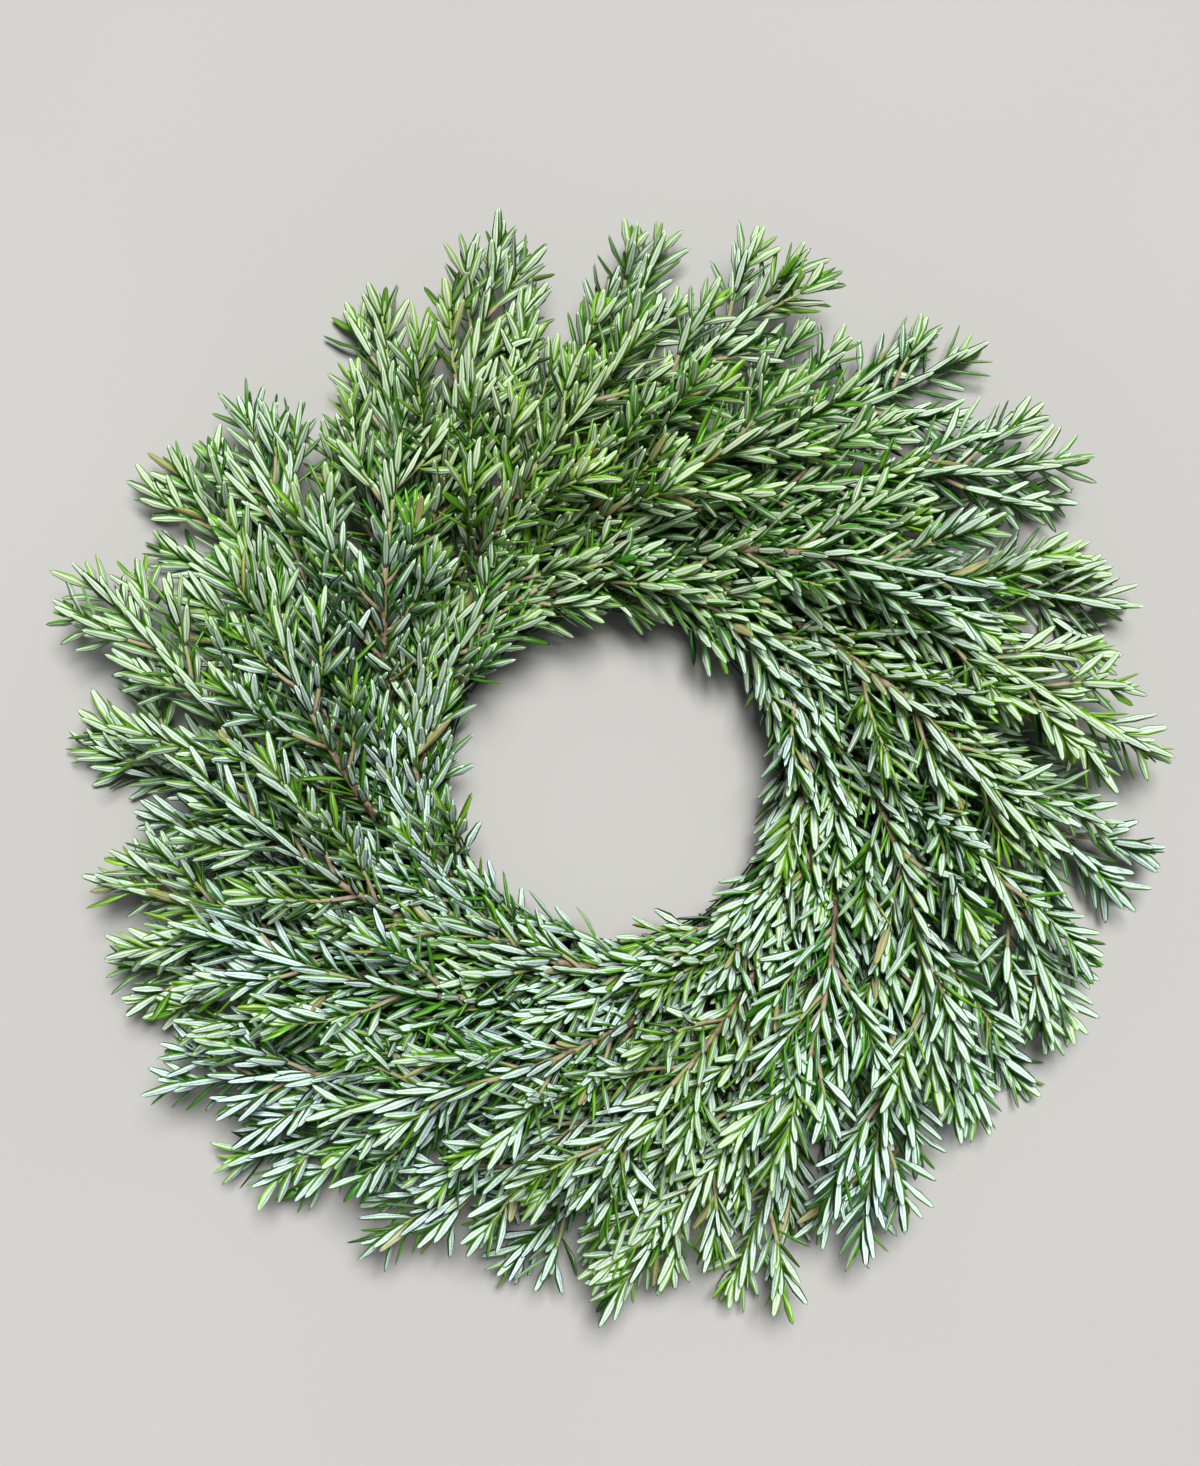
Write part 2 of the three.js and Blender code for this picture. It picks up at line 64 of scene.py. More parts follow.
# How far the closing point of an open tube stands past its end, as a share of the radius there.
BUTT_CROWN = 0.3
TIP_CROWN = 1.2

# Above this share of straight up, a path counts as steep, and its left side is taken from its place instead.
STEEP = 0.98


# ---- Plain arithmetic ----

def smooth(x: Array) -> Array:
    """Ease from 0 to 1 as three x squared less two x cubed, held flat outside 0 to 1.

    Args:
        x: Any array.

    Returns:
        An array of the same shape.
    """
    held = np.clip(x, 0.0, 1.0)
    return held * held * (3.0 - 2.0 * held)


def spread(number: int, kind: int) -> float:
    """Give a number between -1 and 1 that is spread evenly over the sprigs.

    Args:
        number: The sprig's own number.
        kind: Which of the sequences to use.

    Returns:
        Twice the fraction left by a steady irrational step, less one.
    """
    steps = (0.6180339887, 0.7548776662, 0.5698402910, 0.8191725134, 0.6710436067)
    return 2.0 * ((0.37 + (number + 1) * steps[kind]) % 1.0) - 1.0


def unit(vectors: Array) -> Array:
    """Scale vectors along the last axis to length one.

    Args:
        vectors: An array whose last axis holds x, y and z.

    Returns:
        The unit vectors.
    """
    return vectors / np.linalg.norm(vectors, axis=-1, keepdims=True)


def polar(radius: Array, angle: Array, height: Array) -> Array:
    """Turn radii, angles and heights into points round the Z axis.

    Args:
        radius: Distances from the axis.
        angle: Angles in degrees, counter-clockwise from +X.
        height: Heights.

    Returns:
        The points, with x, y and z on the last axis.
    """
    turn = np.radians(angle)
    x, y, z = np.broadcast_arrays(radius * np.cos(turn), radius * np.sin(turn), height)
    return np.stack([x, y, z], axis=-1)


# ---- Meshes ----

@dataclass
class Surface:
    """Points, quads and triangles, with a texture place for each corner and values for each point."""

    points: Array
    quads: Array
    triangles: Array
    quad_places: Array
    triangle_places: Array
    values: dict[str, Array]
    finish: int = 0


def build_mesh(name: str, surfaces: list[Surface]) -> bpy.types.Object:
    """Join surfaces into one mesh object at the origin.

    Args:
        name: The object's name.
        surfaces: The surfaces, each with the number of its finish.

    Returns:
        The new object, linked to the scene.
    """
    offsets = np.cumsum([0] + [len(s.points) for s in surfaces])
    points = np.concatenate([s.points for s in surfaces])
    quads = np.concatenate([s.quads + start for s, start in zip(surfaces, offsets)])
    triangles = np.concatenate([s.triangles + start for s, start in zip(surfaces, offsets)])
    corners = np.concatenate([quads.ravel(), triangles.ravel()]).astype(np.int32)
    quad_starts = 4 * np.arange(len(quads))
    triangle_starts = 4 * len(quads) + 3 * np.arange(len(triangles))
    starts = np.concatenate([quad_starts, triangle_starts]).astype(np.int32)
    mesh = bpy.data.meshes.new(name)
    mesh.vertices.add(len(points))
    mesh.vertices.foreach_set("co", points.astype(np.float32).ravel())
    mesh.loops.add(len(corners))
    mesh.polygons.add(len(starts))
    mesh.polygons.foreach_set("loop_start", starts)
    mesh.polygons.foreach_set("vertices", corners)
    finishes = [np.full(len(s.quads), s.finish) for s in surfaces]
    finishes += [np.full(len(s.triangles), s.finish) for s in surfaces]
    mesh.polygons.foreach_set("material_index", np.concatenate(finishes).astype(np.int32))
    mesh.polygons.foreach_set("use_smooth", np.ones(len(starts), dtype=bool))
    places = [s.quad_places.reshape(-1, 2) for s in surfaces]
    places += [s.triangle_places.reshape(-1, 2) for s in surfaces]
    layer = mesh.uv_layers.new(name="place")
    layer.uv.foreach_set("vector", np.concatenate(places).astype(np.float32).ravel())
    for key in surfaces[0].values:
        value = mesh.attributes.new(key, "FLOAT", "POINT")
        value.data.foreach_set("value", np.concatenate([s.values[key] for s in surfaces]).astype(np.float32))
    mesh.update(calc_edges=True)
    piece = bpy.data.objects.new(name, mesh)
    bpy.context.scene.collection.objects.link(piece)
    return piece


def tube_surface(path: Array, radii: Array, sides: int, looped: bool, values: dict[str, Array],
                 finish: int = 0) -> Surface:
    """Carry a circle along a path.

    Each ring stands square to the path, with its first point on the left side: left is straight up
    crossed with the way ahead, and the ring's points go round from left through up.

    Args:
        path: The path's points, one a row.
        radii: The radius at each point of the path.
        sides: How many points a ring has.
        looped: Whether the path's end joins its start. Otherwise both ends are closed with a point.
        values: A value for each point of the path, by name.
        finish: The number of the finish.

    Returns:
        The tube's surface.
    """
    count = len(path)
    ahead = np.roll(path, -1, axis=0) - np.roll(path, 1, axis=0)
    if not looped:
        ahead[0] = path[1] - path[0]
        ahead[-1] = path[-1] - path[-2]
    ahead = unit(ahead)
    above = np.array([0.0, 0.0, 1.0])
    steep = np.abs(ahead @ above)[:, None] > STEEP
    outward = unit(path * np.array([1.0, 1.0, 0.0]) + 1e-9)
    left = unit(np.cross(np.where(steep, outward, above), ahead))
    up = np.cross(ahead, left)
    turn = 2.0 * np.pi * np.arange(sides) / sides
    ring = left[:, None] * np.cos(turn)[:, None] + up[:, None] * np.sin(turn)[:, None]
    points = (path[:, None] + radii[:, None, None] * ring).reshape(-1, 3)
    bands = count if looped else count - 1
    row, column = np.meshgrid(np.arange(bands), np.arange(sides), indexing="ij")
    next_row = (row + 1) % count
    next_column = (column + 1) % sides
    quads = np.stack([row * sides + column, row * sides + next_column,
                      next_row * sides + next_column, next_row * sides + column], axis=-1).reshape(-1, 4)
    distance = np.concatenate([[0.0], np.cumsum(np.linalg.norm(np.diff(path, axis=0), axis=1))])
    along = np.append(distance, distance[-1] + np.linalg.norm(path[0] - path[-1]))
    places = np.stack([
        np.stack([column / sides, along[row]], axis=-1),
        np.stack([(column + 1) / sides, along[row]], axis=-1),
        np.stack([(column + 1) / sides, along[row + 1]], axis=-1),
        np.stack([column / sides, along[row + 1]], axis=-1),
    ], axis=2).reshape(-1, 4, 2)
    spread_values = {key: np.repeat(value, sides) for key, value in values.items()}
    triangles = np.zeros((0, 3), dtype=int)
    triangle_places = np.zeros((0, 3, 2))
    if not looped:
        last = count * sides
        ends = np.stack([path[0] - BUTT_CROWN * radii[0] * ahead[0],
                         path[-1] + TIP_CROWN * radii[-1] * ahead[-1]])
        points = np.concatenate([points, ends])
        side = np.arange(sides)
        after = (side + 1) % sides
        butt = np.stack([after, side, np.full(sides, last)], axis=-1)
        top = (count - 1) * sides
        tip = np.stack([top + side, top + after, np.full(sides, last + 1)], axis=-1)
        triangles = np.concatenate([butt, tip])
        flat = np.stack([side / sides, np.zeros(sides)], axis=-1)[:, None].repeat(3, axis=1)
        flat_end = flat + np.array([0.0, distance[-1]])
        triangle_places = np.concatenate([flat, flat_end])
        spread_values = {key: np.append(value, [value[0], value[-1]]) for key, value in spread_values.items()}
    return Surface(points, quads, triangles, places, triangle_places, spread_values, finish)


# ---- Leaves ----

@dataclass
class LeafSet:
    """Many leaves at once: where each one sits and how it is made, one row a leaf."""

    roots: Array
    along: Array
    out: Array
    angles: Array
    lengths: Array
    widths: Array
    curls: Array
    twists: Array
    shows: Array
    tones: Array
    ages: Array

    @staticmethod
    def joined(sets: list["LeafSet"]) -> "LeafSet":
        """Put several sets into one.

        Args:
            sets: The sets to join.

        Returns:
            One set with all the leaves.
        """
        names = LeafSet.__dataclass_fields__
        return LeafSet(**{name: np.concatenate([getattr(s, name) for s in sets]) for name in names})


@dataclass(frozen=True)
class LeafShape:
    """A needle leaf, widest at its middle: a blunt tip, edges rolled under and a raised midrib below.

    The section goes round from one edge over the grooved face to the other edge and back under the
    rolled edges and the midrib. Its sizes are shares of the half width at the station.
    """

    stations: tuple[float, ...] = (0.0, 0.18, 0.55, 0.9)
    half_widths: tuple[float, ...] = (0.16, 0.37, 0.5, 0.29)
    section_across: tuple[float, ...] = (-1.0, 0.0, 1.0, 0.66, 0.0, -0.66)
    section_below: tuple[float, ...] = (0.0, -0.38, 0.0, 0.36, 0.24, 0.36)
    section_places: tuple[float, ...] = (0.0, 0.25, 0.5, 0.6, 0.75, 0.9, 1.0)
    bend_from: float = 0.4
    lowest: float = 0.0024
    settle: float = 0.0015

    def surface(self, leaves: LeafSet, finish: int) -> Surface:
        """Make every leaf of a set as a closed skin round its bending middle line.

        The middle line leaves the stem at the leaf's angle and turns steadily by its curl. At each
        station the section is set out across the leaf and along its underside's normal, both turned
        about the middle line by the twist so far, and scaled by the half width there.

        Args:
            leaves: The leaves.
            finish: The number of the finish.

        Returns:
            The surface of all the leaves.
        """
        count = len(leaves.roots)
        stations = np.array(self.stations + (1.0,))
        bend = np.radians(leaves.angles[:, None] + leaves.curls[:, None] * (stations - self.bend_from))
        across = unit(np.cross(leaves.out, leaves.along))[:, None]
        forward = (np.cos(bend)[..., None] * leaves.along[:, None]
                   + np.sin(bend)[..., None] * leaves.out[:, None])
        below = (np.cos(bend)[..., None] * leaves.out[:, None]
                 - np.sin(bend)[..., None] * leaves.along[:, None])
        steps = 0.5 * (forward[:, 1:] + forward[:, :-1]) * np.diff(stations)[:, None]
        middle = np.concatenate([np.zeros((count, 1, 3)), np.cumsum(steps, axis=1)], axis=1)
        middle = leaves.roots[:, None] + leaves.lengths[:, None, None] * middle
        middle[..., 2] = self.lifted(middle[..., 2])
        turn = self.turns(leaves, across, forward, below, stations)[..., None]
        side = np.cos(turn) * across + np.sin(turn) * below
        under = np.cos(turn) * below - np.sin(turn) * across
        half = leaves.widths[:, None] * np.array(self.half_widths)
        section_across = np.array(self.section_across)
        section_below = np.array(self.section_below)
        rings = len(self.stations)
        ring = (middle[:, :rings, None]
                + half[..., None, None] * section_across[:, None] * side[:, :rings, None]
                + half[..., None, None] * section_below[:, None] * under[:, :rings, None])
        sides = len(section_across)
        skin = np.concatenate([ring.reshape(count, -1, 3), middle[:, -1:]], axis=1)
        return self.faced(skin, leaves, rings, sides, finish)

    def turns(self, leaves: LeafSet, across: Array, forward: Array, below: Array, stations: Array) -> Array:
        """Say how far each leaf is turned about its own middle line at each station.

        The wanted way for the underside is its own way plus a share of straight up. The leaf turns towards
        that over its first half, and its own twist grows steadily from foot to tip.

        Args:
            leaves: The leaves.
            across: The way across each leaf.
            forward: The way ahead at each station.
            below: The way that the underside would face at each station.
            stations: The stations from foot to tip.

        Returns:
            The turns in radians, one row a leaf.
        """
        ahead = forward[:, 2]
        up = np.array([0.0, 0.0, 1.0]) - ahead[:, 2:] * ahead
        wanted = below[:, 2] + leaves.shows[:, None] * up
        turn = np.arctan2(-(wanted * across[:, 0]).sum(axis=1), (wanted * below[:, 2]).sum(axis=1))
        return turn[:, None] * smooth(2.0 * stations) + np.radians(leaves.twists)[:, None] * stations

    def lifted(self, heights: Array) -> Array:
        """Lay what would sink into the ground down on it.

        Args:
            heights: Heights above the ground.

        Returns:
            The heights, where a low one is eased towards the lowest that a leaf's middle may have.
        """
        return self.lowest + self.settle * np.logaddexp(0.0, (heights - self.lowest) / self.settle)

    def faced(self, skin: Array, leaves: LeafSet, rings: int, sides: int, finish: int) -> Surface:
        """Lay quads between the rings, a fan to each tip and a cap on each foot.

        Args:
            skin: The points of every leaf, the tip last.
            leaves: The leaves.
            rings: How many rings a leaf has.
            sides: How many points a ring has.
            finish: The number of the finish.

        Returns:
            The surface of all the leaves.
        """
        count, size, _ = skin.shape
        row, column = np.meshgrid(np.arange(rings - 1), np.arange(sides), indexing="ij")
        after = (column + 1) % sides
        quad = np.stack([row * sides + column, row * sides + after,
                         (row + 1) * sides + after, (row + 1) * sides + column], axis=-1).reshape(-1, 4)
        u = np.array(self.section_places)
        v = np.array(self.stations + (1.0,))
        quad_place = np.stack([
            np.stack([u[column], v[row]], axis=-1),
            np.stack([u[column + 1], v[row]], axis=-1),
            np.stack([u[column + 1], v[row + 1]], axis=-1),
            np.stack([u[column], v[row + 1]], axis=-1),
        ], axis=2).reshape(-1, 4, 2)
        edge = np.arange(sides)
        top = (rings - 1) * sides
        fan = np.stack([top + edge, top + (edge + 1) % sides, np.full(sides, size - 1)], axis=-1)
        fan_place = np.stack([
            np.stack([u[edge], np.full(sides, v[-2])], axis=-1),
            np.stack([u[edge + 1], np.full(sides, v[-2])], axis=-1),
            np.stack([0.5 * (u[edge] + u[edge + 1]), np.full(sides, 1.0)], axis=-1),
        ], axis=1)
        foot = np.stack([np.zeros(sides - 2, dtype=int), edge[2:], edge[1:-1]], axis=-1)
        foot_place = np.zeros((sides - 2, 3, 2))
        starts = (size * np.arange(count))[:, None, None]
        triangle = np.concatenate([fan, foot])
        triangle_place = np.concatenate([fan_place, foot_place])
        return Surface(
            points=skin.reshape(-1, 3),
            quads=(quad + starts).reshape(-1, 4),
            triangles=(triangle + starts).reshape(-1, 3),
            quad_places=np.tile(quad_place, (count, 1, 1)),
            triangle_places=np.tile(triangle_place, (count, 1, 1)),
            values={"tone": np.repeat(leaves.tones, size), "age": np.repeat(leaves.ages, size)},
            finish=finish,
        )


# ---- Stems ----

@dataclass
class Stem:
    """A stem's middle line with its directions at every station."""

    points: Array
    radii: Array

    def __post_init__(self) -> None:
        """Work out distances and the way ahead, up and left at each station."""
        gaps = np.linalg.norm(np.diff(self.points, axis=0), axis=1)
        self.distances = np.concatenate([[0.0], np.cumsum(gaps)])
        self.length = float(self.distances[-1])
        self.ahead = unit(np.gradient(self.points, self.distances, axis=0))
        self.left = unit(np.cross([0.0, 0.0, 1.0], self.ahead))
        self.up = np.cross(self.ahead, self.left)

    def at(self, distance: Array, track: Array) -> Array:
        """Read a value of the stations at distances along the stem.

        Args:
            distance: Distances from the butt.
            track: One row of values a station.

        Returns:
            The values at those distances.
        """
        return np.stack([np.interp(distance, self.distances, column) for column in track.T], axis=-1)

    def surface(self, sides: int, young_from: float, finish: int) -> Surface:
        """Make the stem's round skin.

        Args:
            sides: How many points go round it.
            young_from: How young the butt is, where 0 is woody and 1 is fresh.
            finish: The number of the finish.

        Returns:
            The stem's surface.
        """
        place = self.distances / self.length
        values = {"tone": np.full(len(place), 0.5), "age": young_from + (1.0 - young_from) * place}
        return tube_surface(self.points, self.radii, sides, False, values, finish)


@dataclass(frozen=True)
class LeafHabit:
    """How leaves stand along a stem. A swing is the spread of chance about its value."""

    spacing: float = 0.0052
    tip_spacing: float = 0.0034
    tip_zone: float = 0.028
    end_room: float = 0.0005
    pair_turn_swing: float = 9.0
    length: float = 0.0225
    width: float = 0.0043
    angle: float = 38.0
    tip_angle: float = 13.0
    young_stretch: float = 0.018
    youth: tuple[float, float] = (0.05, 0.7)
    axil_share: float = 0.5
    axil_step: float = 0.0012
    axil_turn_swing: float = 24.0
    axil_size: tuple[float, float] = (0.5, 0.8)
    root_share: float = 0.55
    angle_swing: float = 0.16
    size_swing: float = 0.1
    young_shrink: float = 0.25
    curl_swing: float = 12.0
    twist_swing: float = 18.0
    tone: float = 0.5
    tone_swing: float = 0.2
    least_age: float = 0.14
    age_swing: float = 0.08
    felt_up: float = 0.85
    felt_up_swing: float = 0.9

    def grow(self, stem: Stem, start: float, roll: float, vigour: float, rng: np.random.Generator) -> LeafSet:
        """Set opposite pairs of leaves along a stem, each pair a quarter turn from the last.

        The distance between pairs shrinks towards the tip, where the leaves are shorter, younger and
        closer to the stem. Some pairs have a second, smaller pair in their axils.

        Args:
            stem: The stem.
            start: The distance from the butt at which leaves begin.
            roll: The turn of the first pair about the stem.
            vigour: A factor on the length of the leaves.
            rng: The source of chance.

        Returns:
            The leaves.
        """
        span = stem.length - start
        enough = int(span / self.spacing * 1.5)
        gaps = self.spacing + (self.tip_spacing - self.spacing) * smooth(
            (np.arange(enough) * self.spacing - span + self.tip_zone) / self.tip_zone)
        places = start + np.cumsum(gaps)
        places = places[places < stem.length - self.end_room]
        pairs = len(places)
        turns = roll + 90.0 * np.arange(pairs) + rng.normal(0.0, self.pair_turn_swing, pairs)
        distance = np.repeat(places, 2)
        turn = np.repeat(turns, 2) + np.tile([0.0, 180.0], pairs)
        size = np.ones(2 * pairs)
        rise = np.ones(2 * pairs)
        axil = rng.random(2 * pairs) < self.axil_share
        extra = int(axil.sum())
        distance = np.concatenate([distance, distance[axil] + self.axil_step])
        turn = np.concatenate([turn, turn[axil] + rng.normal(0.0, self.axil_turn_swing, extra)])
        size = np.concatenate([size, rng.uniform(*self.axil_size, extra)])
        rise = np.concatenate([rise, rng.uniform(*self.axil_size, extra)])
        distance = np.minimum(distance, stem.length)
        left_over = (stem.length - distance) / self.young_stretch
        young = 1.0 - smooth(left_over)
        count = len(distance)
        youth = rng.uniform(*self.youth)
        angle = (self.tip_angle + (self.angle - self.tip_angle) * smooth(0.25 + left_over)) * rise
        radians = np.radians(turn)[:, None]
        left = stem.at(distance, stem.left)
        up = stem.at(distance, stem.up)
        out = unit(np.cos(radians) * left + np.sin(radians) * up)
        along = unit(stem.at(distance, stem.ahead))
        thickness = np.interp(distance, stem.distances, stem.radii)[:, None]
        shrink = 1.0 - self.young_shrink * smooth(1.0 - 1.6 * left_over)
        return LeafSet(
            roots=stem.at(distance, stem.points) + self.root_share * thickness * out,
            along=along,
            out=out,
            angles=angle * rng.normal(1.0, self.angle_swing, count),
            lengths=self.length * vigour * size * shrink * rng.normal(1.0, self.size_swing, count),
            widths=self.width * (0.55 + 0.45 * size) * rng.normal(1.0, self.size_swing, count),
            curls=rng.normal(0.0, self.curl_swing, count),
            twists=rng.normal(0.0, self.twist_swing, count),
            shows=rng.normal(self.felt_up, self.felt_up_swing, count),
            tones=np.clip(rng.normal(self.tone, self.tone_swing, count), 0.0, 1.0),
            ages=np.clip(self.least_age + youth * young + rng.normal(0.0, self.age_swing, count), 0.0, 1.0),
        )


# ---- The sprigs' rows ----

class RowName(Enum):
    """The four places in a bunch, in the order in which the frame model numbers its sprigs."""

    TOP = "top"
    MIDDLE = "middle"
    OUTER = "outer"
    INNER = "inner"


@dataclass(frozen=True)
class Row:
    """How the sprigs of one row run.

    A stem leaves its butt at start_lean from the outward direction and ends at end_lean. It rises to
    its crest at crest_at of its length, then droops. The share bare of it has no leaves. Its side shoots
    leave it between the two shoot_places, and their lengths go from the first to the last.
    """

    start_radius: float
    start_lean: float
    end_lean: float
    swing: float
    sweep: float
    bend: float
    crest: float
    crest_swing: float
    crest_at: float
    droop: float
    bare: float
    shoots: int
    shoot_places: tuple[float, float]
    shoot_lengths: tuple[float, float]
    reach: float | None = None
    reach_swing: float = 0.0


ROWS: dict[RowName, Row] = {
    RowName.TOP: Row(
        start_radius=0.097, start_lean=80, end_lean=38, swing=4, sweep=60, bend=1,
        crest=0.061, crest_swing=0.0025, crest_at=0.66, droop=0.002, bare=0.14,
        shoots=10, shoot_places=(0.14, 0.82), shoot_lengths=(0.066, 0.036),
        reach=0.205, reach_swing=0.007,
    ),
    RowName.MIDDLE: Row(
        start_radius=0.1035, start_lean=68, end_lean=28, swing=9, sweep=59, bend=1,
        crest=0.046, crest_swing=0.0025, crest_at=0.55, droop=0.016, bare=0.22,
        shoots=12, shoot_places=(0.16, 0.84), shoot_lengths=(0.076, 0.036),
    ),
    RowName.OUTER: Row(
        start_radius=0.110, start_lean=61, end_lean=26, swing=9, sweep=43, bend=1,
        crest=0.026, crest_swing=0.001, crest_at=0.27, droop=0.013, bare=0.22,
        shoots=11, shoot_places=(0.14, 0.82), shoot_lengths=(0.074, 0.036),
    ),
    RowName.INNER: Row(
        start_radius=0.090, start_lean=91, end_lean=46, swing=0, sweep=80, bend=3,
        crest=0.0355, crest_swing=0.0002, crest_at=0.5, droop=0.0, bare=0.05,
        shoots=7, shoot_places=(0.14, 0.8), shoot_lengths=(0.042, 0.03),
        reach=0.135, reach_swing=0.002,
    ),
}

BUNCHES = 12
FIRST_BUNCH_ANGLE = 8.0
BUTT_HEIGHT = 0.008
TIP_ALLOWANCE = 0.011
LINE_STEPS = 24
ROW_STRIDE = 17
FIRST_SEED = 4000

# How far the leaf tips reach from the middle, at every 15 degrees counter-clockwise from +X.
TIP_REACH = np.array([254, 264, 258, 275, 267, 258, 258, 267, 252, 255, 264, 270,
                      248, 251, 258, 258, 267, 240, 247, 254, 258, 255, 240, 257]) / 1000.0


def tip_reach(angle: float) -> float:
    """Read how far the tips reach at an angle.

    Args:
        angle: The angle in degrees.

    Returns:
        The reach, between the two listed angles on either side.
    """
    return float(np.interp(angle % 360.0, np.arange(25) * 15.0, np.append(TIP_REACH, TIP_REACH[0])))


def sprig_line(row: Row, bunch_angle: float, number: int) -> Array:
    """Walk a sprig's middle line: a clockwise spiral that rises to its crest and droops after it.

    The lean from the outward direction goes from its start to its end with the given bend. The radius
    grows with the lean's cosine at each step, and the angle falls by its sine over the radius.

    Args:
        row: The sprig's row.
        bunch_angle: Where the butt is, in degrees.
        number: The sprig's own number.

    Returns:
        The points of the line round the ring's middle.
    """
    tip_angle = bunch_angle - row.sweep
    reach = row.reach + row.reach_swing * spread(number, 1) if row.reach else tip_reach(tip_angle)
    end_lean = row.end_lean + row.swing * np.cos(np.radians(tip_angle + 60.0))
    part = ((np.arange(LINE_STEPS) + 0.5) / LINE_STEPS) ** row.bend
    lean = np.radians(row.start_lean + (end_lean - row.start_lean) * part)
    step = (reach - TIP_ALLOWANCE - row.start_radius) / np.cos(lean).mean() / LINE_STEPS
    radius = row.start_radius + np.concatenate([[0.0], np.cumsum(step * np.cos(lean))])
    mean_radius = 0.5 * (radius[1:] + radius[:-1])
    angle = bunch_angle - np.concatenate([[0.0], np.cumsum(np.degrees(step * np.sin(lean) / mean_radius))])
    place = np.arange(LINE_STEPS + 1) / LINE_STEPS
    crest = row.crest + row.crest_swing * spread(number, 2)
    rise = (crest - BUTT_HEIGHT) * smooth(place / row.crest_at)
    fall = row.droop * smooth((place - row.crest_at) / (1.0 - row.crest_at))
    return polar(radius, angle, BUTT_HEIGHT + rise - fall)


@dataclass
class Sprig:
    """One sprig as it grew: a main stem, side shoots and needle leaves."""

    name: RowName
    bunch: int
    centre: Array
    butt_radius: float = 0.0029
    tip_radius: float = 0.0007
    stem_taper: float = 0.8
    roll_swing: float = 22.0
    shoot_radius: float = 0.0013
    shoot_turns: tuple[float, ...] = (0.0, 180.0, 270.0, 10.0, 170.0)
    shoot_turn_swing: float = 26.0
    shoot_place_swing: float = 0.02
    shoot_length_swing: float = 0.14
    shoot_lean: float = 42.0
    shoot_lean_swing: float = 5.0
    shoot_return: float = 26.0
    shoot_steps: int = 9
    shoot_taper: float = 0.55
    shoot_age: float = 0.5
    shoot_bare: float = 0.009
    shoot_vigour: float = 0.9
    lowest_shoot: float = 0.004
    highest_shoot: float = 0.072
    stem_sides: int = 7
    habit: LeafHabit = field(default_factory=LeafHabit)
    leaf: LeafShape = field(default_factory=LeafShape)

    @property
    def node(self) -> str:
        """The sprig's name in the frame model."""
        return f"{self.name.value}_sprig_{self.bunch + 1:02d}"

    def main_stem(self, number: int) -> Stem:
        """Lay the main stem along the sprig's line.

        Args:
            number: The sprig's own number.

        Returns:
            The stem, thinner towards its tip.
        """
        angle = FIRST_BUNCH_ANGLE + 360.0 * self.bunch / BUNCHES
        points = sprig_line(ROWS[self.name], angle, number) + self.centre
        place = np.linspace(0.0, 1.0, len(points))
        thinning = place ** self.stem_taper
        return Stem(points, self.butt_radius + (self.tip_radius - self.butt_radius) * thinning)

    def side_shoot(self, stem: Stem, place: float, turn: float, length: float,
                   rng: np.random.Generator) -> Stem:
        """Bend a shoot out of the main stem and back towards its way.

        Args:
            stem: The main stem.
            place: Where the shoot leaves, from 0 at the butt to 1 at the tip.
            turn: The side that it leaves on, in degrees from the left side through the upper side.
            length: The shoot's length.
            rng: The source of chance.

        Returns:
            The shoot's stem.
        """
        distance = np.array([place * stem.length])
        side = np.radians(turn)
        out = np.cos(side) * stem.at(distance, stem.left) + np.sin(side) * stem.at(distance, stem.up)
        ahead = unit(stem.at(distance, stem.ahead))
        steps = self.shoot_steps
        part = (np.arange(steps) + 0.5) / steps
        first_lean = rng.normal(self.shoot_lean, self.shoot_lean_swing)
        lean = np.radians(first_lean - self.shoot_return * part)[:, None]
        ways = np.cos(lean) * ahead + np.sin(lean) * unit(out)
        points = stem.at(distance, stem.points) + np.concatenate(
            [np.zeros((1, 3)), np.cumsum(ways * length / steps, axis=0)])
        points[:, 2] = np.clip(points[:, 2], self.lowest_shoot, self.highest_shoot)
        radii = self.shoot_radius * (1.0 - self.shoot_taper * np.linspace(0.0, 1.0, steps + 1))
        return Stem(points, radii)

    def build(self, number: int, finishes: list[bpy.types.Material], slot: str) -> bpy.types.Object:
        """Grow the sprig and put it in the place of its solid in the frame model.

        Args:
            number: The sprig's own number.
            finishes: The leaf finish and the stem finish.
            slot: The record's slot for its leaves. Not used.

        Returns:
            The sprig.
        """
        rng = np.random.default_rng(FIRST_SEED + number)
        row = ROWS[self.name]
        stem = self.main_stem(number)
        roll = self.roll_swing * spread(number, 3)
        leaves = [self.habit.grow(stem, row.bare * stem.length, roll, 1.0, rng)]
        surfaces = [stem.surface(self.stem_sides, 0.0, 1)]
        count = row.shoots
        places = np.linspace(*row.shoot_places, count) + rng.normal(0.0, self.shoot_place_swing, count)
        turns = np.resize(self.shoot_turns, count) + rng.normal(0.0, self.shoot_turn_swing, count)
        lengths = np.linspace(*row.shoot_lengths, count) * rng.normal(1.0, self.shoot_length_swing, count)
        for place, turn, length in zip(places, turns, lengths):
            shoot = self.side_shoot(stem, place, turn, length, rng)
            surfaces.append(shoot.surface(self.stem_sides - 2, self.shoot_age, 1))
            leaves.append(self.habit.grow(shoot, self.shoot_bare, 90.0 * rng.random(),
                                          self.shoot_vigour, rng))
        surfaces.insert(0, self.leaf.surface(LeafSet.joined(leaves), 0))
        piece = build_mesh(f"fine_{self.node}", surfaces)
        for finish in finishes:
            piece.data.materials.append(finish)
        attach(piece, "root")
        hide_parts(self.node)
        return piece


# ---- Finishes ----

